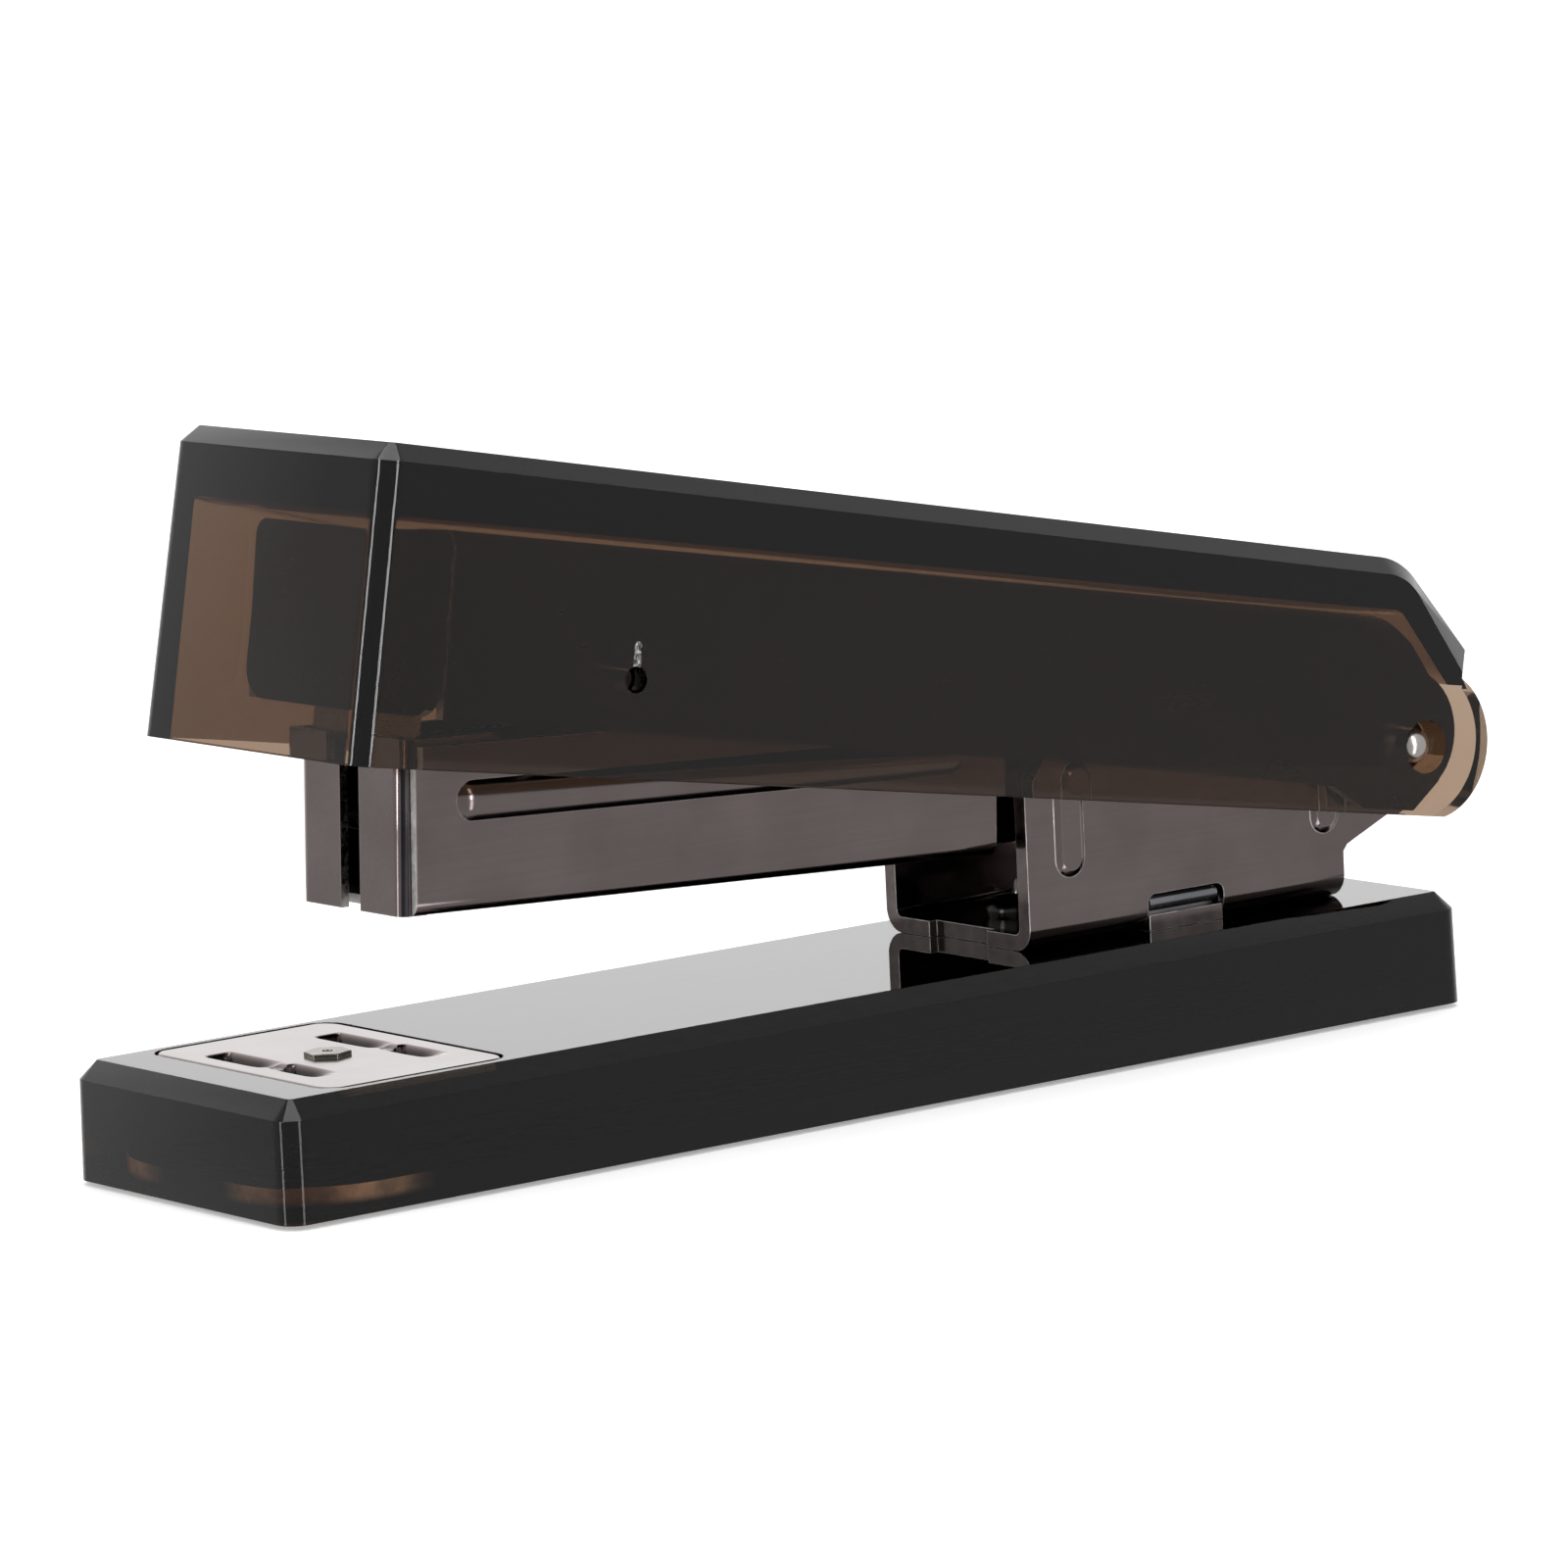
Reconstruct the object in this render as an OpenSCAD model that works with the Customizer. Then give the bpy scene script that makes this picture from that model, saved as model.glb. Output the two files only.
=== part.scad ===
// Desk stapler with a smoked acrylic cover and base.
// The nose points along -X, the hinge is at +X, and Z is up.
// The origin is the centre of the foot pad's underside.
// The shape is drawn at rest: head raised, nothing pressed.

/* [Base] */
// Length of the base block
base_length = 132; // [120:1:150]
// Width of the base block at its underside
base_width = 33.1; // [30:0.1:36]
// Height of the base block's top face above the table
base_top = 10.8; // [10:0.1:12]
// Width of the chamfer round the top of the base block
base_chamfer = 1.6; // [0.5:0.1:2]
// Distance by which the foot pad stands out below the block
pad_proud = 0.4; // [0.2:0.1:0.8]
// Radius of the upright corners of the base and cover
corner_radius = 2; // [1.8:0.1:3]
// Side draft of the moulded parts in degrees
draft = 1; // [0:0.1:1.5]

/* [Hinge] */
// Distance of the hinge axis behind the middle of the base
hinge_x = 62.2; // [60:0.1:63]
// Height of the hinge axis above the table
hinge_z = 24.7; // [24:0.1:26]
// Radius of the hinge pin
pin_radius = 1.55; // [1.2:0.05:1.8]
// Radial running clearance round the hinge pin
pin_clearance = 0.08; // [0.04:0.01:0.1]

/* [Rest pose] */
// Tilt of the magazine at rest in degrees
magazine_tilt = 2.81; // [2.5:0.01:3.2]
// Tilt of the handle at rest in degrees
handle_tilt = 9.37; // [9:0.01:10]

/* [Handle cover] */
// Distance from the hinge axis to the cover's lower front edge
cover_reach = 119.6; // [118:0.1:121]
// Width of the cover at its lower edge
cover_width = 33; // [32:0.1:35]
// Height of the cover's front face
cover_height = 27; // [25:0.1:29]
// Thickness of the cover's side and front walls
cover_wall = 3; // [2.5:0.1:3]
// Radius of the lobes round the hinge
lobe_radius = 7; // [6.8:0.1:7.2]
// Chamfer along the top edges of the cover
cover_chamfer = 1.5; // [0.5:0.1:2]

/* [Magazine] */
// Outside width of the magazine shell
shell_width = 16.8; // [16.8:0.1:17.2]
// Outside width of the staple track
track_width = 15; // [14.8:0.1:15]
// Crown width of the staples
staple_width = 12.9; // [12.6:0.1:13]
// Leg length of the staples
staple_leg = 6; // [5.5:0.1:6]
// Length of the strip of staples
strip_length = 39.8; // [20:0.1:40]

/* [Hinge bracket] */
// Outside width of the bracket
bracket_width = 20.7; // [20.4:0.1:21]
// Thickness of the bracket's sheet steel
bracket_sheet = 1.5; // [1.2:0.1:1.6]

/* [Hidden] */
$fn = 48;
eps = 0.02;
acrylic = [0.2, 0.15, 0.13, 0.6];
gunmetal = [0.4, 0.36, 0.36];
nickel = [0.78, 0.76, 0.74];
spring_steel = [0.55, 0.56, 0.6];

// Base block, foot pad and anvil
base_bottom = pad_proud;
base_half_l = base_length / 2;
base_half_w = base_width / 2;
base_draft = (base_top - base_bottom - base_chamfer) * tan(draft);
pad_length = 125;
pad_width = 27.5;
pad_corner = 8;
pad_depth = 2.2;
anvil_x = -50.2;
anvil_size = [18.9, 27.6];
anvil_corner = 2.3;
anvil_gap = 0.2;
anvil_sheet = 1.2;
anvil_top = base_top - 0.06;
groove_pitch = 5.7;
nut_flats = 3.6;
nut_height = 0.42;
nut_bore = 0.5;
rivet_x = [26, 51];
rivet_radius = 1.5;
rivet_head = 1.7;

// Hinge bracket
bracket_front = 19.2;
bracket_rear = 57;
bracket_half = bracket_width / 2;
bend_radius = 2.2;
floor_top = base_top + bracket_sheet;
ear_radius = 6;
slot_front = 33.2;
slot_rear = 42.2;
slot_top = 14.2;

// Magazine, in the frame of the hinge axis
mag_bottom = -7.11;
nose_x = -108.95;
shell_front = -107.9;
shell_rear = -44.6;
shell_half = shell_width / 2;
shell_sheet = 0.8;
shell_floor = 0.8;
shell_top = 7.4;
track_half = track_width / 2;
track_sheet = 0.8;
track_floor = mag_bottom + shell_floor;
track_top = 6.4;
nose_top = 8;
nose_gap = 1.42;
nose_bend = 1;
slot_back = -106.3;
leg_tip = track_floor + track_sheet + 0.1;
crown_top = leg_tip + staple_leg;
staple_wire = 0.7;
crown_wire = 0.5;
core_top = crown_top - crown_wire - 0.1;
core_half = staple_width / 2 - staple_wire - 0.22;
core_rear = -22;
strip_front = slot_back + 0.1;
strip_rear = strip_front + strip_length;
follower_front = strip_rear + 0.2;
follower_length = 12;
rod_z = 3.8;
rod_radius = 1;
tab_front = follower_front + 6.2;
tab_sheet = 1.2;
stop_x = -16;

// Handle, in the frame of the hinge axis
cover_bottom = -6.38;
cover_half = cover_width / 2;
front_lean = 1.7;
top_drop = 1.78;
slope_angle = 42;
slope_end = [5.4, 9.1];
crest_radius = 7;
lobe_centre = [0.7, 0.25];
top_front = [-cover_reach + cover_height * tan(front_lean), cover_bottom + cover_height];
ceiling_front = 14.6;
ceiling_rear = [-2.9, 12.35];
slope_inner_end = [3.5, 5.75];
frame_half = 12.8;
frame_sheet = 1;
frame_front = -109.4;
flange_sheet = 0.8;
frame_top_front = 13.75;
frame_drop = 1.12;
frame_top_rear = [-4.4, frame_top_front - (109 - 4.4) * tan(frame_drop)];
driver_x = -107.35;
driver_sheet = 0.6;
driver_half = 6.2;
cover_pin_at = [-91.3, 2.1];
spring_rivet_x = -52;

// Places its children in the frame of the hinge axis, with the nose end raised by tilt degrees
module at_hinge(tilt) {
    translate([hinge_x, 0, hinge_z]) rotate([0, tilt, 0]) children();
}

// Extrudes a shape drawn in X and Z across the width, between y0 and y1
module across(y0, y1) {
    translate([0, y1, 0]) rotate([90, 0, 0]) linear_extrude(y1 - y0) children();
}

// Extrudes a shape drawn in Y and Z along the length, between x0 and x1
module along(x0, x1) {
    translate([x0, 0, 0]) rotate([90, 0, 90]) linear_extrude(x1 - x0) children();
}

// A round bar across the width
module cross_bar(at, radius, y0, y1) {
    across(y0, y1) translate(at) circle(r = radius);
}

// A rectangle about the origin with round corners
module round_rect(size, radius) {
    square([size[0] - 2 * radius, size[1]], center = true);
    square([size[0], size[1] - 2 * radius], center = true);
    for (sx = [-1, 1], sy = [-1, 1])
        translate([sx * (size[0] / 2 - radius), sy * (size[1] / 2 - radius)]) circle(r = radius);
}

// Section of a sheet-metal channel, open at the top, with round bends
module channel_section(half, low, high, sheet, floor_sheet, bend) {
    inner_bend = max(bend - sheet, 0.1);
    difference() {
        channel_fill(half, low, high, bend);
        translate([0, floor_sheet]) channel_fill(half - sheet, low, high, inner_bend);
    }
}

module channel_fill(half, low, high, bend) {
    translate([-half, low + bend]) square([2 * half, high - low - bend]);
    translate([-half + bend, low]) square([2 * (half - bend), bend + eps]);
    for (s = [-1, 1]) translate([s * (half - bend), low + bend]) circle(r = bend);
}

// Four thin discs, one at each corner of a rectangle
module corner_discs(half_l, half_w, radius, z, inset) {
    for (sx = [-1, 1], sy = [-1, 1])
        translate([sx * (half_l - radius), sy * (half_w - radius), z])
            cylinder(r = radius - inset, h = eps, $fn = 32);
}

// A pressed bead that stands out of a wall at y = 0 towards -Y, running along X from its round end.
// Its section is an arc of height cap, flattened at the given height.
module bead(length, width, height, cap) {
    r = (width * width / 4 + cap * cap) / (2 * cap);
    intersection() {
        translate([-width, -height, -width]) cube([length + 2 * width, height + 0.3, 2 * width]);
        union() {
            translate([0, r - cap, 0]) rotate([0, 90, 0]) cylinder(r = r, h = length);
            for (x = [0, length]) translate([x, r - cap, 0]) sphere(r = r);
        }
    }
}

// ---- Base ----

module base_block() {
    color(acrylic) difference() {
        hull() {
            corner_discs(base_half_l, base_half_w, corner_radius, base_bottom, 0);
            corner_discs(base_half_l - base_draft, base_half_w - base_draft, corner_radius,
                         base_top - base_chamfer, 0);
            corner_discs(base_half_l - base_draft, base_half_w - base_draft, corner_radius,
                         base_top - eps, base_chamfer);
        }
        translate([0, 0, base_bottom - 1])
            linear_extrude(1 + pad_depth) round_rect([pad_length + 0.4, pad_width + 0.4], pad_corner);
        translate([anvil_x, 0, anvil_top - anvil_sheet])
            linear_extrude(3)
                round_rect(anvil_size + [2 * anvil_gap, 2 * anvil_gap], anvil_corner + anvil_gap);
        translate([anvil_x, 0, 0]) cylinder(r = 1.1, h = 20);
        translate([anvil_x, 0, 0]) cylinder(r = 2.5, h = base_bottom + pad_depth + 2.2);
        for (x = rivet_x) translate([x, 0, 0]) cylinder(r = rivet_radius + 0.05, h = 20);
        for (x = rivet_x) translate([x, 0, 0]) cylinder(r = 3.2, h = base_bottom + pad_depth + 2);
    }
}

module foot_pad() {
    color([0.05, 0.05, 0.05])
        linear_extrude(base_bottom + pad_depth) round_rect([pad_length, pad_width], pad_corner);
}

// Clinching pocket: a shallow trough along Y that curls one leg of the staple
module pocket(x, y, radius, depth, width) {
    translate([x - width / 2, y, anvil_top + radius - depth])
        rotate([0, 90, 0]) cylinder(r = radius, h = width);
}

module anvil_plate() {
    color(nickel) difference() {
        translate([anvil_x, 0, anvil_top - anvil_sheet])
            linear_extrude(anvil_sheet) round_rect(anvil_size, anvil_corner);
        for (row = [-1, 1], side = [-1, 1])
            pocket(anvil_x + row * groove_pitch - side * 0.25, side * 4.1, 9, 0.92, 2.9);
        for (row = [-1, 1]) pocket(anvil_x + row * groove_pitch + 0.25, 0, 3, 0.45, 2);
        translate([anvil_x, 0, 0]) cylinder(r = 1.1, h = 20);
    }
}

module anvil_nut() {
    color(gunmetal) translate([anvil_x, 0, anvil_top]) rotate([0, 0, 20]) difference() {
        intersection() {
            cylinder(r = nut_flats / 2 / cos(30), h = nut_height, $fn = 6);
            translate([0, 0, nut_height - 4.6]) sphere(r = 5);
        }
        translate([0, 0, -1]) cylinder(r = 1, h = 1 + nut_height - 0.15);
        cylinder(r = nut_bore, h = 5);
    }
}

module anvil_screw() {
    head_low = base_bottom + pad_depth + 0.6;
    head_high = base_bottom + pad_depth + 2.2;
    color(nickel) translate([anvil_x, 0, 0]) difference() {
        union() {
            translate([0, 0, head_low]) cylinder(r = 2.2, h = head_high - head_low);
            translate([0, 0, head_low]) cylinder(r = 0.98, h = anvil_top + nut_height - 0.35 - head_low);
        }
        for (turn = [0, 90])
            translate([0, 0, head_low]) rotate([0, 0, turn]) cube([2.6, 0.5, 1.4], center = true);
    }
}

// ---- Hinge bracket ----

module ear_profile() {
    polygon([[bracket_front, base_top + bend_radius], [bracket_front, 26.5], [bracket_front + 2, 28.9],
             [hinge_x, hinge_z + ear_radius], [hinge_x + ear_radius - 0.6, hinge_z],
             [65.6, 20.6], [63.8, 18.3], [bracket_rear + 0.5, 15.7], [bracket_rear, 15.1],
             [bracket_rear, base_top + bend_radius]]);
    translate([hinge_x, hinge_z]) circle(r = ear_radius);
}

module bracket_walls() {
    for (s = [-1, 1])
        across(min(s * bracket_half, s * (bracket_half - bracket_sheet)),
               max(s * bracket_half, s * (bracket_half - bracket_sheet))) ear_profile();
}

module hinge_bracket() {
    bead_width = 3.4;
    bead_height = 0.38;
    bead_cap = 0.6;
    notch = [0.9, 8.3];
    color(gunmetal) translate([slot_front + 0.15, 0.1 - bracket_half, base_top])
        cube([slot_rear - slot_front - 0.3, 2 * bracket_half - 0.2, bracket_sheet]);
    color(gunmetal) difference() {
        union() {
            bracket_walls();
            along(bracket_front, bracket_rear)
                channel_section(bracket_half, base_top, base_top + 2 * bend_radius + 0.2,
                                bracket_sheet, bracket_sheet, bend_radius);
            for (m = [0, 1], x = [24.2, 54.7]) mirror([0, m, 0]) translate([x, -bracket_half, 18.8])
                rotate([0, -90, 0]) bead(7.2, bead_width, bead_height, bead_cap);
        }
        cross_bar([hinge_x, hinge_z], pin_radius, -20, 20);
        for (s = [-1, 1]) across(s * 10 - 2.1, s * 10 + 2.1)
            translate([(slot_front + slot_rear) / 2, slot_top - 3])
                round_rect([slot_rear - slot_front, 6], 0.9);
        translate([bracket_front - 1, -notch[1] / 2, base_top - 1]) cube([1 + notch[0], notch[1], 4]);
        for (x = rivet_x) translate([x, 0, 0]) cylinder(r = rivet_radius, h = 20);
    }
}

// Hollow rivets that hold the bracket on the base
module bracket_rivets() {
    color(nickel) for (x = rivet_x) translate([x, 0, 0]) difference() {
        union() {
            translate([0, 0, floor_top]) cylinder(r = 2.9, h = rivet_head);
            translate([0, 0, base_bottom + pad_depth + 0.4]) cylinder(r = rivet_radius, h = floor_top - 2.4);
            translate([0, 0, base_bottom + pad_depth + 0.4]) cylinder(r = 2.7, h = 1.6);
        }
        cylinder(r = 0.9, h = 20);
    }
}

// Bent strip that lifts the magazine: a flat foot held by tabs, a tight bend and a rising arm
module lift_spring() {
    sheet = 0.5;
    foot = [33.2, 45.4];
    bend = 2.4;
    curl_radius = 0.8;
    arm_length = 21;
    arm_tip_x = foot[1] - arm_length;
    track_underside = hinge_z + (hinge_x - arm_tip_x) * tan(magazine_tilt) + track_floor - 0.35;
    rise = asin((track_underside - floor_top - 2 * bend) / arm_length);
    color(spring_steel) {
        translate([foot[0], -6.5, floor_top]) cube([foot[1] - foot[0], 13, sheet]);
        translate([slot_front + 0.3, 1.2 - bracket_half, floor_top])
            cube([slot_rear - slot_front - 0.6, 2 * bracket_half - 2.4, sheet]);
        for (s = [-1, 1]) along(slot_front + 0.5, slot_rear - 0.5)
            translate([s * (bracket_half - 1.15), floor_top + 1]) circle(r = curl_radius);
        across(-5, 5) {
            translate([foot[1], floor_top + bend]) intersection() {
                difference() {
                    circle(r = bend);
                    circle(r = bend - sheet);
                }
                polygon([[0, -3], [3, -3], [3, 3], [3 * sin(rise), 3 * cos(rise)], [0, 0]]);
            }
            translate([foot[1], floor_top + bend]) rotate(-rise)
                translate([-arm_length, bend - sheet]) square([arm_length, sheet]);
        }
    }
}

module hinge_pin() {
    head_tip = 15.9;
    dome = 2;
    color(nickel) intersection() {
        cross_bar([hinge_x, hinge_z], pin_radius, -16, 16);
        union() {
            cross_bar([hinge_x, hinge_z], pin_radius + 1, -head_tip + 0.9, head_tip - 0.9);
            for (s = [-1, 1]) translate([hinge_x, s * (head_tip - dome), hinge_z]) sphere(r = dome);
        }
    }
}

module hinge_spacers() {
    near = bracket_half + 0.05;
    far = frame_half - frame_sheet - 0.2;
    color(nickel) for (s = [-1, 1]) difference() {
        across(min(s * near, s * far), max(s * near, s * far)) translate([hinge_x, hinge_z]) circle(r = 3.2);
        cross_bar([hinge_x, hinge_z], pin_radius, -20, 20);
    }
}

// ---- Magazine ----

module magazine_shell() {
    color(gunmetal) at_hinge(magazine_tilt) difference() {
        union() {
            along(shell_front, shell_rear)
                channel_section(shell_half, mag_bottom, shell_top, shell_sheet, shell_floor, 1.2);
            for (m = [0, 1]) mirror([0, m, 0])
                translate([shell_front + 5.95, -shell_half, 2.45]) bead(51, 3.5, 0.8, 0.8);
        }
        translate([shell_front - 1, -track_half - 0.1, mag_bottom - 1])
            cube([slot_back - shell_front + 1, track_width + 0.2, 20]);
    }
}

module track_profile() {
    polygon([[nose_x + track_sheet, mag_bottom], [slot_back, mag_bottom], [slot_back, track_floor],
             [-4, track_floor], [2, -5.2], [2, 5.2], [-9, track_top], [-98, track_top],
             [-100, nose_top], [nose_x + track_sheet, nose_top]]);
    circle(r = 5.5);
}

module staple_track() {
    flange_width = track_half - nose_gap;
    color(gunmetal) at_hinge(magazine_tilt) difference() {
        union() {
            intersection() {
                across(-10, 10) track_profile();
                union() {
                    along(nose_x, 8)
                        channel_section(track_half, track_floor, 9, track_sheet, track_sheet, 1);
                    along(nose_x, slot_back) for (s = [-1, 1])
                        translate([s > 0 ? track_half - track_sheet : -track_half, mag_bottom])
                            square([track_sheet, 3]);
                }
            }
            for (s = [-1, 1])
                translate([nose_x, s > 0 ? nose_gap : -track_half, mag_bottom])
                    cube([track_sheet, flange_width, nose_top - mag_bottom]);
        }
        translate([nose_x + track_sheet, -track_half + track_sheet, mag_bottom - 1])
            cube([slot_back - nose_x - track_sheet, track_width - 2 * track_sheet, 20]);
        translate([-20, -5, track_floor - 1]) cube([30, 10, 2]);
        cross_bar([0, 0], pin_radius + pin_clearance, -20, 20);
        for (s = [-1, 1]) translate([nose_x, s * track_half, mag_bottom - 1]) corner_cut(nose_bend, -s);
    }
}

// Rounds the outer corner of an upright bend; side points to the middle of the part
module corner_cut(radius, side) {
    linear_extrude(20) difference() {
        translate([-0.5, side > 0 ? -0.5 : -radius]) square([radius + 0.5, radius + 0.5]);
        translate([radius, side * radius]) circle(r = radius);
    }
}

// Inverted channel that the staples straddle
module staple_core() {
    color(gunmetal) at_hinge(magazine_tilt) along(slot_back + 0.1, core_rear) difference() {
        translate([-core_half, track_floor + track_sheet])
            square([2 * core_half, core_top - track_floor - track_sheet]);
        translate([-core_half + 0.7, track_floor])
            square([2 * core_half - 1.4, core_top - track_floor - 0.7]);
    }
}

module staple_strip() {
    color(nickel) at_hinge(magazine_tilt) along(strip_front, strip_rear) difference() {
        translate([-staple_width / 2, leg_tip]) square([staple_width, staple_leg]);
        translate([-staple_width / 2 + staple_wire, leg_tip - 1])
            square([staple_width - 2 * staple_wire, staple_leg + 1 - crown_wire]);
    }
}

module follower_rod() {
    color(nickel) at_hinge(magazine_tilt)
        along(tab_front - 8, stop_x + 1.6) translate([0, rod_z]) circle(r = rod_radius);
}

// Plate between the track walls that anchors the rod and carries the handle spring's tip
module rod_stop() {
    half = track_half - track_sheet;
    color(gunmetal) at_hinge(magazine_tilt) difference() {
        union() {
            translate([stop_x, -half, core_top]) cube([1.2, 2 * half, 6 - core_top]);
            translate([stop_x, -half, 5.4]) cube([6, 2 * half, 0.8]);
        }
        along(stop_x - 1, stop_x + 2) translate([0, rod_z]) circle(r = rod_radius);
    }
}

module follower() {
    half = track_half - track_sheet - 0.25;
    cap = 1;
    color(gunmetal) at_hinge(magazine_tilt) difference() {
        union() {
            along(follower_front, follower_front + follower_length)
                translate([-half, leg_tip + 0.1]) square([2 * half, core_top + 0.15 + cap - leg_tip - 0.1]);
            translate([tab_front, -3, core_top + 0.5]) cube([tab_sheet, 6, 6.4 - core_top]);
        }
        along(follower_front - 1, follower_front + follower_length + 1)
            translate([-core_half - 0.2, leg_tip - 1])
                square([2 * core_half + 0.4, core_top + 0.15 - leg_tip + 1]);
        along(tab_front - 1, tab_front + 2) translate([0, rod_z]) circle(r = rod_radius + 0.08);
    }
}

// Envelope of the coil spring round the rod
module follower_spring() {
    color(spring_steel) at_hinge(magazine_tilt)
        along(tab_front + tab_sheet + 0.05, stop_x - 0.05) translate([0, rod_z]) difference() {
            circle(r = 2.1);
            circle(r = rod_radius + 0.4);
        }
}

// ---- Handle ----

function cover_w(z) = cover_half - (z - cover_bottom) * tan(draft);
function cover_front(z) = -cover_reach + (z - cover_bottom) * tan(front_lean);
// Where the top face and the rear slope would meet as a sharp edge
crest_x = (top_front[1] + top_front[0] * tan(top_drop) - slope_end[1] - slope_end[0] * tan(slope_angle))
        / (tan(top_drop) - tan(slope_angle));
crest_z = slope_end[1] + (slope_end[0] - crest_x) * tan(slope_angle);
crest_mean = (top_drop + slope_angle) / 2;
crest_out = crest_radius / cos((slope_angle - top_drop) / 2);
crest_centre = [crest_x - crest_out * sin(crest_mean), crest_z - crest_out * cos(crest_mean)];

// Bars across the cover for one point of its outline, whose face is tilted by the given angle
module cover_bars(at, face) {
    low = at - cover_chamfer * [sin(face), cos(face)];
    translate([low[0], 0, low[1]]) cube([eps, 2 * cover_w(low[1]), eps], center = true);
    translate([at[0], 0, at[1]]) cube([eps, 2 * (cover_w(at[1]) - cover_chamfer), eps], center = true);
}

module cover_disc(z, side, inset) {
    translate([cover_front(z) + corner_radius, side * (cover_w(z) - corner_radius), z])
        cylinder(r = corner_radius - inset, h = eps, $fn = 32);
}

module cover_outside() {
    end_low = slope_end[1] - cover_chamfer / cos(slope_angle);
    lobe_top = 5.6;
    lobe_foot = 2.8;
    hull() {
        for (s = [-1, 1]) {
            cover_disc(cover_bottom, s, 0);
            cover_disc(top_front[1] - cover_chamfer, s, 0);
            cover_disc(top_front[1] - eps, s, cover_chamfer);
        }
        for (step = [0:6])
            let (face = top_drop + (slope_angle - top_drop) * step / 6)
                cover_bars(crest_centre + crest_radius * [sin(face), cos(face)], face);
        for (z = [lobe_top, slope_end[1]]) translate([slope_end[0], 0, z])
            cube([eps, 2 * (cover_w(z) - cover_chamfer), eps], center = true);
        for (z = [lobe_top, end_low])
            translate([slope_end[0] - cover_chamfer, 0, z]) cube([eps, 2 * cover_w(z), eps], center = true);
        translate([lobe_foot, 0, cover_bottom + eps / 2])
            cube([eps, 2 * cover_w(cover_bottom), eps], center = true);
    }
    intersection() {
        cross_bar(lobe_centre, lobe_radius, -20, 20);
        translate([0, 0, cover_bottom]) along(-1, 10) polygon([
            [-cover_w(cover_bottom), 0], [cover_w(cover_bottom), 0],
            [cover_w(8), 8 - cover_bottom], [-cover_w(8), 8 - cover_bottom]]);
    }
}

module cover_cavity() {
    half = cover_half - cover_wall;
    across(-half, half) polygon([
        [-cover_reach + cover_wall, cover_bottom - 3], [cover_front(ceiling_front) + cover_wall, ceiling_front],
        ceiling_rear, slope_inner_end, [slope_end[0], slope_inner_end[1]], [slope_end[0], 10],
        [12, 10], [12, cover_bottom - 3]]);
}

module handle_cover() {
    color(acrylic) at_hinge(handle_tilt) difference() {
        cover_outside();
        cover_cavity();
        cross_bar([0, 0], 2.45, -20, 20);
        cross_bar(cover_pin_at, 1.15, -20, 20);
    }
}

module frame_profile() {
    polygon([[frame_front, -2.3], [-37, -3.3], [-9, -4.2], [-5, -6.1], [1.2, -6.1], [4.1, -3.2],
             [2, 6.3], [0.5, 8], [-0.7, 9.3], frame_top_rear + [0.6, -0.2], [-5.4, 13], [-60, 16],
             [frame_front, 16]]);
    translate([-0.4, 0.9]) circle(r = 6);
}

// Round-shouldered cross section of the frame, hanging below its top face at z = 0
module frame_section() {
    mirror([0, 1]) channel_section(frame_half, 0, 24, frame_sheet, frame_sheet, 1.8);
}

module handle_frame() {
    color(gunmetal) at_hinge(handle_tilt) difference() {
        union() {
            intersection() {
                across(-20, 20) frame_profile();
                translate([frame_front, 0, frame_top_front]) rotate([0, frame_drop, 0])
                    translate([-3, 0, 0]) along(0, 120) frame_section();
            }
            frame_flange();
        }
        translate([frame_top_rear[0], -frame_half + frame_sheet, -8])
            cube([20, 2 * (frame_half - frame_sheet), 30]);
        cross_bar([0, 0], pin_radius + pin_clearance, -20, 20);
        cross_bar(cover_pin_at, 1, -20, 20);
        for (x = [-102, spring_rivet_x]) translate([x, 0, 5]) cylinder(r = 1, h = 15);
    }
}

// Front flange, bent down from the top of the frame
module frame_flange() {
    low = -2.3;
    high = frame_top_front - 0.05;
    corner = 3;
    shoulder = 1.5;
    half = frame_half - 0.4;
    along(frame_front - flange_sheet, frame_front + eps) {
        translate([-half + corner, low]) square([2 * (half - corner), high - low]);
        translate([-half, low + corner]) square([2 * half, high - low - corner - shoulder]);
        for (s = [-1, 1]) translate([s * (half - corner), low + corner]) circle(r = corner);
        for (s = [-1, 1]) translate([s * (half - shoulder - corner / 2), high - shoulder - corner / 2])
            square([corner, corner], center = true);
        for (s = [-1, 1]) translate([s * (half - shoulder), high - shoulder]) circle(r = shoulder);
    }
}

// Blade that pushes the staple out, with its top folded back under the frame
module driver_blade() {
    blade_bottom = -7.1;
    fold_top = 12.4;
    color(nickel) at_hinge(handle_tilt) difference() {
        union() {
            translate([driver_x, -driver_half, blade_bottom])
                cube([driver_sheet, 2 * driver_half, fold_top - blade_bottom]);
            translate([driver_x, -driver_half, fold_top - driver_sheet])
                cube([9.4, 2 * driver_half, driver_sheet]);
        }
        translate([driver_x - 1, -1, -5.4]) cube([3, 2, 5]);
        translate([-102, 0, 5]) cylinder(r = 1, h = 15);
    }
}

module driver_rivets() {
    color(nickel) at_hinge(handle_tilt) translate([-102, 0, 0]) {
        translate([0, 0, 11.1]) cylinder(r = 2, h = 0.68);
        translate([0, 0, 11.1]) cylinder(r = 1, h = 2.9);
        translate([0, 0, 13.66]) cylinder(r = 1.8, h = 0.4);
    }
}

// Pins that hold the cover on the frame, set back in the holes of the cover's sides
module cover_pins() {
    color(gunmetal) at_hinge(handle_tilt) for (s = [-1, 1])
        cross_bar(cover_pin_at, 1, s > 0 ? 10.8 : -14.4, s > 0 ? 14.4 : -10.8);
}

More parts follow.
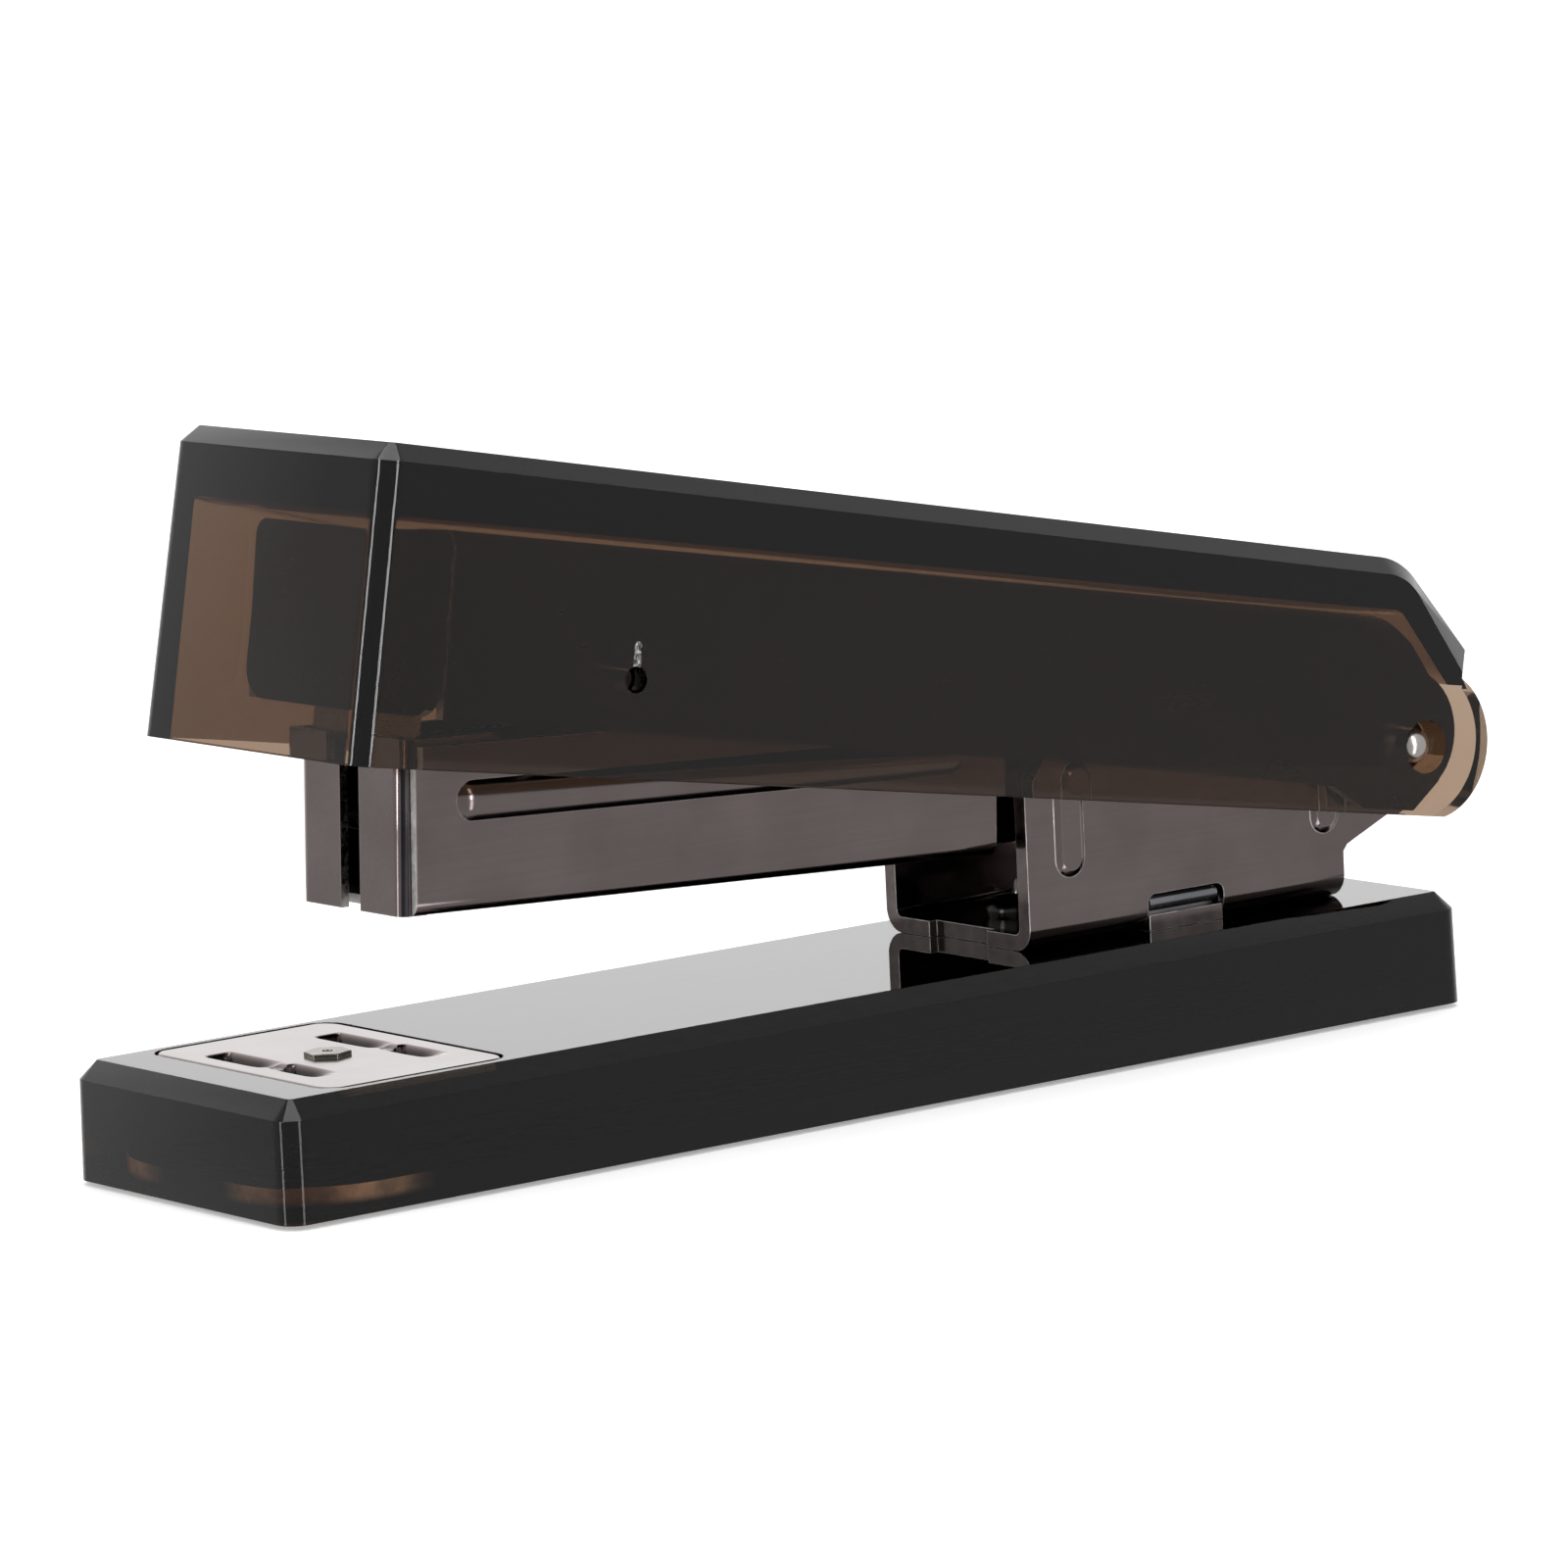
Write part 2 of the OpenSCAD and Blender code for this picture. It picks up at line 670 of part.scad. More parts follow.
// Leaf spring under the frame, whose free end bears on the magazine
module handle_spring() {
    sheet = 0.5;
    start = [spring_rivet_x - 4, frame_top_front - (109 + spring_rivet_x) * tan(frame_drop) - frame_sheet - 0.1];
    drop = 6.1;
    span = 32;
    flat = 9;
    steps = 10;
    upper = [for (i = [0:steps]) start + [flat + span * i / steps, -drop * (1 - cos(90 * i / steps))
                                          - 0.16]];
    lower = [for (i = [steps:-1:0]) upper[i] - [0, sheet]];
    color(spring_steel) at_hinge(handle_tilt) difference() {
        across(-4, 4) polygon(concat([start - [0, 0.02]], upper, lower, [start - [0, sheet + 0.02]]));
        translate([spring_rivet_x, 0, 5]) cylinder(r = 1, h = 15);
    }
}

module spring_rivet() {
    roof = frame_top_front - (109 + spring_rivet_x) * tan(frame_drop);
    color(nickel) at_hinge(handle_tilt) translate([spring_rivet_x, 0, 0]) {
        translate([0, 0, roof - 2.5]) cylinder(r = 2, h = 0.7);
        translate([0, 0, roof - 2.5]) cylinder(r = 1, h = 2.8);
        translate([0, 0, roof + 0.03]) cylinder(r = 1.8, h = 0.35);
    }
}

base_block();
foot_pad();
anvil_plate();
anvil_nut();
anvil_screw();
hinge_bracket();
bracket_rivets();
lift_spring();
hinge_pin();
hinge_spacers();
magazine_shell();
staple_track();
staple_core();
staple_strip();
follower_rod();
rod_stop();
follower();
follower_spring();
handle_cover();
handle_frame();
driver_blade();
driver_rivets();
cover_pins();
handle_spring();
spring_rivet();
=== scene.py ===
import math

import bmesh
import bpy
from mathutils import Matrix, Vector


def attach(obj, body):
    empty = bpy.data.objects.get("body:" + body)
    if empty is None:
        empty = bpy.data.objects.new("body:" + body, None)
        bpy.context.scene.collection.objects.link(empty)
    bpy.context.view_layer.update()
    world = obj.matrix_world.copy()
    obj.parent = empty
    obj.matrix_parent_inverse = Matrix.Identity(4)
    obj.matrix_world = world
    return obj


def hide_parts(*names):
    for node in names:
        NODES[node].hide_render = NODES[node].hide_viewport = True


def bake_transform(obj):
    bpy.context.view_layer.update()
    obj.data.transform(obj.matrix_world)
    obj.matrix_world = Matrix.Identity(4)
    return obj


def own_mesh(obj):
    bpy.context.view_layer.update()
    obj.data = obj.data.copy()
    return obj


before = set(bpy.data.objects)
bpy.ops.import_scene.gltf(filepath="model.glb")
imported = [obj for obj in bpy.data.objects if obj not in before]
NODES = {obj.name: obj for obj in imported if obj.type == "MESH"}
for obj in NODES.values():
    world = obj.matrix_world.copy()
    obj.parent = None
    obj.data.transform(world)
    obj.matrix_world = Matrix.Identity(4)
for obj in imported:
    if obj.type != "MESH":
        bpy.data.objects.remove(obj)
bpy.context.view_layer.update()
MM = 0.001

# The hinge axis and the rest tilts, in millimetres and degrees, as in the CAD
HINGE = Vector((62.2, 0, 24.7))
MAGAZINE_TILT = 2.81
HANDLE_TILT = 9.37


def at_hinge(tilt):
    """Hinge frame in millimetres to the row frame in metres."""
    turn = Matrix.Rotation(math.radians(tilt), 4, "Y")
    return Matrix.Scale(MM, 4) @ Matrix.Translation(HINGE) @ turn


HANDLE = at_hinge(HANDLE_TILT)
MAGAZINE = at_hinge(MAGAZINE_TILT)
WORLD = Matrix.Scale(MM, 4)


# ---------------------------------------------------------------- materials

def new_material(name):
    mat = bpy.data.materials.new(name)
    mat.use_nodes = True
    tree = mat.node_tree
    tree.nodes.clear()
    out = tree.nodes.new("ShaderNodeOutputMaterial")
    shader = tree.nodes.new("ShaderNodeBsdfPrincipled")
    tree.links.new(shader.outputs["BSDF"], out.inputs["Surface"])
    return mat, tree, shader, out


def position(tree, scale):
    """Object coordinates times a scale for each axis, in metres."""
    coord = tree.nodes.new("ShaderNodeTexCoord")
    mapping = tree.nodes.new("ShaderNodeMapping")
    mapping.inputs["Scale"].default_value = scale
    tree.links.new(coord.outputs["Object"], mapping.inputs["Vector"])
    return mapping.outputs["Vector"]


def noise(tree, scale, detail=3.0, stretch=(1, 1, 1), rough=0.5):
    node = tree.nodes.new("ShaderNodeTexNoise")
    node.inputs["Scale"].default_value = scale
    node.inputs["Detail"].default_value = detail
    node.inputs["Roughness"].default_value = rough
    tree.links.new(position(tree, stretch), node.inputs["Vector"])
    return node.outputs["Fac"]


def ramp(tree, fac, stops):
    """Colour ramp from (position, colour) pairs; a plain number is a grey."""
    node = tree.nodes.new("ShaderNodeValToRGB")
    elements = node.color_ramp.elements
    while len(elements) < len(stops):
        elements.new(0.5)
    for element, (at, value) in zip(elements, stops):
        element.position = at
        colour = value if hasattr(value, "__len__") else (value, value, value)
        element.color = (*colour, 1)
    tree.links.new(fac, node.inputs["Fac"])
    return node.outputs["Color"]


def mix(tree, fac, a, b, kind="MIX"):
    node = tree.nodes.new("ShaderNodeMix")
    node.data_type = "RGBA"
    node.blend_type = kind
    for socket, value in ((node.inputs[0], fac), (node.inputs[6], a), (node.inputs[7], b)):
        if hasattr(value, "links"):
            tree.links.new(value, socket)
        elif hasattr(value, "__len__"):
            socket.default_value = (*value, 1)
        else:
            socket.default_value = value
    return node.outputs[2]


def axes(tree):
    """The object's own X, Y and Z, in metres."""
    split = tree.nodes.new("ShaderNodeSeparateXYZ")
    tree.links.new(position(tree, (1, 1, 1)), split.inputs[0])
    return split.outputs


def map_range(tree, value, low, high, kind="LINEAR"):
    node = tree.nodes.new("ShaderNodeMapRange")
    node.interpolation_type = kind
    node.inputs["From Min"].default_value = low
    node.inputs["From Max"].default_value = high
    tree.links.new(value, node.inputs["Value"])
    return node.outputs["Result"]


def bump(tree, shader, layers):
    """Chains (height, strength, distance in metres) layers into the normal."""
    last = None
    for height, strength, distance in layers:
        node = tree.nodes.new("ShaderNodeBump")
        node.inputs["Strength"].default_value = strength
        node.inputs["Distance"].default_value = distance
        tree.links.new(height, node.inputs["Height"])
        if last:
            tree.links.new(last, node.inputs["Normal"])
        last = node.outputs["Normal"]
    tree.links.new(last, shader.inputs["Normal"])


def edge_mask(tree, radius, low, high):
    """White on edges that are sharper than the surface round them."""
    bevel = tree.nodes.new("ShaderNodeBevel")
    bevel.samples = 4
    bevel.inputs["Radius"].default_value = radius
    geometry = tree.nodes.new("ShaderNodeNewGeometry")
    dot = tree.nodes.new("ShaderNodeVectorMath")
    dot.operation = "DOT_PRODUCT"
    tree.links.new(bevel.outputs["Normal"], dot.inputs[0])
    tree.links.new(geometry.outputs["Normal"], dot.inputs[1])
    return ramp(tree, dot.outputs["Value"], [(low, 1.0), (high, 0.0)])


def acrylic():
    mat, tree, shader, out = new_material("smoked_acrylic")
    shader.inputs["Transmission Weight"].default_value = 1.0
    shader.inputs["IOR"].default_value = 1.49
    tint = ramp(tree, noise(tree, 55, 2), [(0.3, (0.985, 0.98, 0.975)), (0.7, (1, 1, 1))])
    tree.links.new(tint, shader.inputs["Base Color"])
    wipe = noise(tree, 90, 4, (1, 2.2, 1))
    scratch = noise(tree, 1, 2, (180, 9000, 9000))
    rough = mix(tree, 0.25, ramp(tree, wipe, [(0.35, 0.0), (0.75, 0.035)]),
                ramp(tree, scratch, [(0.62, 0.0), (0.78, 0.03)]), "ADD")
    tree.links.new(rough, shader.inputs["Roughness"])
    bump(tree, shader, [(noise(tree, 30, 1), 0.06, 0.00004),
                        (noise(tree, 900, 2), 0.004, 0.000002)])
    volume = tree.nodes.new("ShaderNodeVolumeAbsorption")
    volume.inputs["Color"].default_value = (0.507, 0.367, 0.227, 1)
    volume.inputs["Density"].default_value = 750.0
    tree.links.new(volume.outputs["Volume"], out.inputs["Volume"])
    return mat


def metal(name, dark, light, rough, grain=(1, 1, 1), worn=None, grain_depth=0.000001, wear=0.6,
          streak=0.02, painted_shade_heights=None):
    """Plated or bare metal: cloudy tone, fine grain along the sheet, handling marks and brighter edges.

    The heights for painted shade are a pair, in metres: below the first the metal is darkened most, as
    painted shade in its hollows, and above the second it keeps its own tone."""
    mat, tree, shader, _ = new_material(name)
    shader.inputs["Metallic"].default_value = 1.0
    tone = ramp(tree, noise(tree, 140, 4), [(0.3, dark), (0.7, light)])
    marks = noise(tree, 1, 3, (60 * grain[0], 2600 * grain[1], 2600 * grain[2]))
    tone = mix(tree, streak, tone, ramp(tree, marks, [(0.42, 0.0), (0.6, 1.0)]), "OVERLAY")
    if worn:
        edge = edge_mask(tree, 0.00022, 0.93, 0.995)
        rubbed = ramp(tree, noise(tree, 700, 3), [(0.3, 0.15), (0.65, wear)])
        patchy = mix(tree, 1.0, edge, rubbed, "MULTIPLY")
        tone = mix(tree, patchy, tone, worn)
    if painted_shade_heights:
        # Painted shade: the metal darkens towards the bottom of its hollows.
        height = map_range(tree, axes(tree)["Z"], *painted_shade_heights)
        painted_shade = ramp(tree, height, [(0.0, 0.06), (0.6, 0.4), (1.0, 1.0)])
        tone = mix(tree, 1.0, tone, painted_shade, "MULTIPLY")
    tree.links.new(tone, shader.inputs["Base Color"])
    smudge = ramp(tree, noise(tree, 110, 5, (1, 1.6, 1.6)), [(0.35, rough[0]), (0.7, rough[1])])
    fine = ramp(tree, marks, [(0.4, 0.0), (0.7, 0.04)])
    tree.links.new(mix(tree, 0.5, smudge, fine, "ADD"), shader.inputs["Roughness"])
    bump(tree, shader, [(marks, 0.35, grain_depth), (noise(tree, 160, 2), 0.3, 0.00003),
                        (noise(tree, 2600, 2), 0.12, 0.000006)])
    return mat


def sheared(name, dark, light, depth, rough=(0.16, 0.36), fine=1700):
    """Cut edge of the sheet: torn in places, plated over, or rubbed bright."""
    mat, tree, shader, _ = new_material(name)
    shader.inputs["Metallic"].default_value = 1.0
    tear = noise(tree, 1, 4, (fine, fine, fine), 0.7)
    tree.links.new(ramp(tree, tear, [(0.35, dark), (0.65, light)]),
                   shader.inputs["Base Color"])
    tree.links.new(ramp(tree, tear, [(0.3, rough[0]), (0.7, rough[1])]), shader.inputs["Roughness"])
    bump(tree, shader, [(tear, depth, 0.00004), (noise(tree, 5200, 3), depth, 0.000015)])
    return mat


def scuffed():
    """Scraped moulding beside the pin hole: pale specks on dark."""
    mat, tree, shader, _ = new_material("scuffed_acrylic")
    specks = noise(tree, 1, 4, (3800, 3800, 2200), 0.7)
    tree.links.new(ramp(tree, specks, [(0.46, (0.03, 0.028, 0.026)), (0.64, (0.62, 0.61, 0.6))]),
                   shader.inputs["Base Color"])
    tree.links.new(ramp(tree, specks, [(0.4, 0.2), (0.6, 0.6)]), shader.inputs["Roughness"])
    bump(tree, shader, [(specks, 0.9, 0.00008)])
    return mat


def pad_edge_painted_glow():
    """Edge of the pad's adhesive: dark, with a painted glow at its two front corners, fitted to stand in
    for light seen through the block there.
    """
    mat, tree, shader, _ = new_material("pad_edge_painted_glow")
    along = axes(tree)
    # Axis, what makes its distance from the middle, and where the painted glow starts and is full, in
    # metres.
    # Times -1, X counts towards the front only.
    limits = (("X", "MULTIPLY", 0.0495, 0.0575), ("Y", "ABSOLUTE", 0.004, 0.0095),
              ("Z", "ABSOLUTE", 0.0009, 0.0017))
    share = None
    for socket, kind, low, high in limits:
        size = tree.nodes.new("ShaderNodeMath")
        size.operation = kind
        size.inputs[1].default_value = -1.0
        tree.links.new(along[socket], size.inputs[0])
        near = map_range(tree, size.outputs[0], low, high, "SMOOTHSTEP")
        share = near if share is None else mix(tree, 1.0, share, near, "MULTIPLY")
    patchy = ramp(tree, noise(tree, 420, 4), [(0.35, 0.45), (0.65, 1.0)])
    tone = mix(tree, 1.0, share, patchy, "MULTIPLY")
    # Painted glow: a lighter colour and light given off at the front corners stand in for light seen
    # through the block.
    tree.links.new(mix(tree, tone, (0.01, 0.01, 0.01), (0.6, 0.46, 0.36)), shader.inputs["Base Color"])
    tree.links.new(mix(tree, tone, (0.0, 0.0, 0.0), (0.75, 0.58, 0.46)), shader.inputs["Emission Color"])
    shader.inputs["Emission Strength"].default_value = 0.6
    shader.inputs["Specular IOR Level"].default_value = 0.0
    tree.links.new(ramp(tree, patchy, [(0.4, 0.6), (0.9, 0.8)]), shader.inputs["Roughness"])
    return mat


def rubber():
    mat, tree, shader, _ = new_material("black_rubber")
    tone = ramp(tree, noise(tree, 260, 5), [(0.3, (0.010, 0.010, 0.010)), (0.7, (0.022, 0.021, 0.021))])
    tree.links.new(tone, shader.inputs["Base Color"])
    tree.links.new(ramp(tree, noise(tree, 420, 4), [(0.3, 0.62), (0.7, 0.85)]), shader.inputs["Roughness"])
    bump(tree, shader, [(noise(tree, 2200, 3), 0.5, 0.00004), (noise(tree, 7000, 2), 0.35, 0.00001)])
    return mat


ACRYLIC = acrylic()
GUNMETAL = metal("gunmetal_plate", (0.215, 0.180, 0.176), (0.255, 0.213, 0.208), (0.10, 0.20),
                 worn=(0.55, 0.51, 0.49))
BLACK = metal("black_plate", (0.034, 0.031, 0.031), (0.052, 0.048, 0.048), (0.16, 0.28),
              worn=(0.2, 0.19, 0.185))
NICKEL = metal("nickel_plate", (0.60, 0.565, 0.535), (0.70, 0.665, 0.635), (0.12, 0.24),
               worn=(0.82, 0.8, 0.78))
SPRING = metal("spring_steel", (0.26, 0.265, 0.285), (0.36, 0.36, 0.38), (0.18, 0.32),
               worn=(0.55, 0.55, 0.56))
# Darker copy of the spring steel for the lift strip, whose curls get the lighter steel as a painted
# highlight.
SPRING_DARK = metal("dark_spring_steel", (0.13, 0.118, 0.118), (0.2, 0.18, 0.18), (0.10, 0.2),
                    worn=(0.45, 0.43, 0.43))
STAPLE = metal("staple_wire", (0.60, 0.60, 0.62), (0.74, 0.74, 0.75), (0.22, 0.36), grain=(1, 0.3, 0.3),
               worn=(0.85, 0.85, 0.86))
# The anvil plate gets painted shade in its grooves, darkest at their bottoms.
STAMPED = metal("stamped_plate", (0.215, 0.180, 0.176), (0.255, 0.213, 0.208), (0.08, 0.16),
                painted_shade_heights=(0.0099, 0.01071))
NUT = metal("passivated_nut", (0.075, 0.066, 0.052), (0.20, 0.18, 0.145), (0.10, 0.26),
            worn=(0.8, 0.76, 0.68), grain_depth=0.00001, wear=0.9)
SHEARED = sheared("sheared_edge", (0.3, 0.28, 0.27), (0.66, 0.63, 0.61), 0.4)
PLATED_EDGE = sheared("plated_edge", (0.17, 0.145, 0.14), (0.25, 0.21, 0.205), 0.05, (0.12, 0.2), 500)
BURR = sheared("polished_burr", (0.72, 0.7, 0.68), (0.96, 0.95, 0.93), 0.25, (0.42, 0.6), 1200)
WORN_BURR = sheared("worn_burr", (0.28, 0.26, 0.25), (0.85, 0.82, 0.8), 0.25, (0.35, 0.5), 350)
BEND = metal("bend_shadow", (0.03, 0.03, 0.034), (0.055, 0.054, 0.06), (0.25, 0.4))
RUBBER = rubber()
SCUFFED = scuffed()
# Adhesive edge with a painted glow at its front corners.
PAD_PAINTED_GLOW = pad_edge_painted_glow()


# ---------------------------------------------------------------- mesh helpers

def to_object(bm, name, matrix=None, body=None, material=None, smooth=30):
    """Turns a bmesh drawn in millimetres into a piece in the row frame."""
    mesh = bpy.data.meshes.new(name)
    if matrix is not None:
        bm.transform(matrix)
    bmesh.ops.recalc_face_normals(bm, faces=bm.faces)
    bm.to_mesh(mesh)
    bm.free()
    obj = bpy.data.objects.new(name, mesh)
    bpy.context.scene.collection.objects.link(obj)
    if material:
        mesh.materials.append(material)
    if smooth:
        smooth_by_angle(mesh, smooth)
    if body:
        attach(obj, body)
    return obj


def smooth_by_angle(mesh, degrees):
    mesh.polygons.foreach_set("use_smooth", [True] * len(mesh.polygons))
    mesh.set_sharp_from_angle(angle=math.radians(degrees))


def hull(points):
    bm = bmesh.new()
    verts = [bm.verts.new(p) for p in points]
    made = bmesh.ops.convex_hull(bm, input=verts)
    spare = [v for v in made["geom_interior"] + made["geom_unused"] if isinstance(v, bmesh.types.BMVert)]
    bmesh.ops.delete(bm, geom=list(set(spare)), context="VERTS")
    bmesh.ops.remove_doubles(bm, verts=bm.verts, dist=1e-4)
    bmesh.ops.dissolve_limit(bm, angle_limit=math.radians(0.3), verts=bm.verts, edges=bm.edges)
    return bm


def prism(profile, y0, y1):
    """Solid with an outline in X and Z, from y0 to y1."""
    bm = bmesh.new()
    near = [bm.verts.new((x, y0, z)) for x, z in profile]
    far = [bm.verts.new((x, y1, z)) for x, z in profile]
    n = len(profile)
    bm.faces.new(near)
    bm.faces.new(far[::-1])
    for i in range(n):
        bm.faces.new((near[i], far[i], far[(i + 1) % n], near[(i + 1) % n]))
    bmesh.ops.recalc_face_normals(bm, faces=bm.faces)
    return bm


def reorder(bm, order):
    """Swaps the axes of every point."""
    for v in bm.verts:
        v.co = Vector([v.co[k] for k in order])
    bmesh.ops.recalc_face_normals(bm, faces=bm.faces)
    return bm


def column(profile, z0, z1):
    """Solid with an outline in X and Y, from z0 to z1."""
    return reorder(prism(profile, z0, z1), (0, 2, 1))


def bar(profile, x0, x1):
    """Solid with an outline in Y and Z, from x0 to x1."""
    return reorder(prism(profile, x0, x1), (1, 0, 2))


def lathe(profile, at, steps=64):
    """Closed outline of (radius, height) pairs turned about an upright axis."""
    bm = bmesh.new()
    rings = []
    for i in range(steps):
        a = 2 * math.pi * i / steps
        rings.append([bm.verts.new((at[0] + r * math.cos(a), at[1] + r * math.sin(a), z))
                      for r, z in profile])
    for i in range(steps):
        for k in range(len(profile)):
            a, b = rings[i], rings[(i + 1) % steps]
            n = (k + 1) % len(profile)
            bm.faces.new((a[k], b[k], b[n], a[n]))
    bmesh.ops.recalc_face_normals(bm, faces=bm.faces)
    return bm


def tube(points, radius, sides=10):
    """Round wire along a path."""
    bm = bmesh.new()
    path = [Vector(p) for p in points]
    rings = []
    side = Vector((0, 0, 1))
    for i, p in enumerate(path):
        ahead = (path[min(i + 1, len(path) - 1)] - path[max(i - 1, 0)]).normalized()
        side = (side - side.dot(ahead) * ahead).normalized()
        other = ahead.cross(side)
        rings.append([bm.verts.new(p + radius * (math.cos(a) * side + math.sin(a) * other))
                      for a in (2 * math.pi * k / sides for k in range(sides))])
    for a, b in zip(rings, rings[1:]):
        for k in range(sides):
            bm.faces.new((a[k], a[(k + 1) % sides], b[(k + 1) % sides], b[k]))
    bm.faces.new(rings[0][::-1])
    bm.faces.new(rings[-1])
    bmesh.ops.recalc_face_normals(bm, faces=bm.faces)
    return bm


def join(parts):
    """One bmesh holding several separate shells."""
    whole = bmesh.new()
    for part in parts:
        mesh = bpy.data.meshes.new("part")
        part.to_mesh(mesh)
        part.free()
        whole.from_mesh(mesh)
        bpy.data.meshes.remove(mesh)
    return whole


def circle(cx, cz, r, n=96, start=0.0, end=360.0):
    full = abs(end - start) >= 360
    steps = n if full else n + 1
    return [(cx + r * math.cos(math.radians(start + (end - start) * i / n)),
             cz + r * math.sin(math.radians(start + (end - start) * i / n))) for i in range(steps)]


def round_rect(cx, cy, length, width, r, n=16):
    points = []
    for k, (sx, sy) in enumerate(((1, 1), (-1, 1), (-1, -1), (1, -1))):
        points += circle(cx + sx * (length / 2 - r), cy + sy * (width / 2 - r), r, n, 90 * k, 90 * k + 90)
    return points


def combine(bm, others, kind):
    """Boolean of a bmesh with others, in millimetres."""
    base = to_object(bm, "work", smooth=0)
    tools = []
    for i, other in enumerate(others):
        tool = to_object(other, f"tool{i}", smooth=0)
        mod = base.modifiers.new(f"cut{i}", "BOOLEAN")
        mod.operation = kind
        mod.solver = "EXACT"
        mod.object = tool
        tools.append(tool)
    graph = bpy.context.evaluated_depsgraph_get()
    result = bmesh.new()
    result.from_mesh(base.evaluated_get(graph).to_mesh())
    for o in [base, *tools]:
        bpy.data.objects.remove(o)
    bmesh.ops.remove_doubles(result, verts=result.verts, dist=2e-4)
    return result


def micro_bevel(obj, width, angle=35, segments=2):
    mod = obj.modifiers.new("edge_round", "BEVEL")
    mod.width = width
    mod.segments = segments
    mod.limit_method = "ANGLE"
    mod.angle_limit = math.radians(angle)
    mod.use_clamp_overlap = True
    mod.harden_normals = True
    return mod


# ---------------------------------------------------------------- acrylic base

BASE = dict(l=132.0, w=33.1, z0=0.4, z1=10.8, chamfer=1.6, r=2.0, draft=math.radians(1))
RECESS = dict(l=125.4, w=27.9, r=8, top=2.6)
ANVIL_X = -50.2
POCKET = dict(l=19.3, w=28, r=2.5, floor=9.54)
RIVETS = (26, 51)


def base_body():
    b = BASE
    inset = (b["z1"] - b["z0"] - b["chamfer"]) * math.tan(b["draft"])
    points = []
    for z, shrink, r in ((b["z0"], 0, b["r"]), (b["z1"] - b["chamfer"], inset, b["r"]),
                         (b["z1"], inset + b["chamfer"], b["r"] - b["chamfer"])):
        ring = round_rect(0, 0, b["l"] - 2 * shrink, b["w"] - 2 * shrink, r, 20)
        points += [(x, y, z) for x, y in ring]
    screw_r, screw_head_r, screw_head_top = 1.1, 2.5, 4.8
    rivet_r, rivet_head_r, rivet_head_top = 1.55, 3.2, 4.6
    cuts = [column(round_rect(0, 0, RECESS["l"], RECESS["w"], RECESS["r"], 24), -1, RECESS["top"]),
            column(round_rect(ANVIL_X, 0, POCKET["l"], POCKET["w"], POCKET["r"]), POCKET["floor"], 13),
            column(circle(ANVIL_X, 0, screw_r, 48), 1, 10),
            column(circle(ANVIL_X, 0, screw_head_r, 48), 1, screw_head_top)]
    for x in RIVETS:
        cuts += [column(circle(x, 0, rivet_r, 48), 1, 13),
                 column(circle(x, 0, rivet_head_r, 48), 1, rivet_head_top)]
    bm = combine(hull(points), cuts, "DIFFERENCE")
    obj = to_object(bm, "base_body", WORLD, "base", ACRYLIC, smooth=25)
    micro_bevel(obj, 0.00016)
    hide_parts("base_block")


base_body()

# ---------------------------------------------------------------- acrylic cover

COVER = dict(reach=119.6, bottom=-6.38, half=16.5, height=27.0, lean=math.radians(1.7),
             draft=math.radians(1), drop=math.radians(1.78), slope=math.radians(42),
             chamfer=1.5, r=2.0, end=(5.4, 9.1), crest_r=7.0, lobe=(0.7, 0.25, 7.0), foot=2.8, top=5.6,
             wall=3.0, ceiling=14.6, hinge_hole=2.45)
PIN_HOLE = (-91.3, 2.1, 1.15)  # X, Z and radius, in the hinge frame


def cover_half(z):
    return COVER["half"] - (z - COVER["bottom"]) * math.tan(COVER["draft"])


def cover_front(z):
    return -COVER["reach"] + (z - COVER["bottom"]) * math.tan(COVER["lean"])


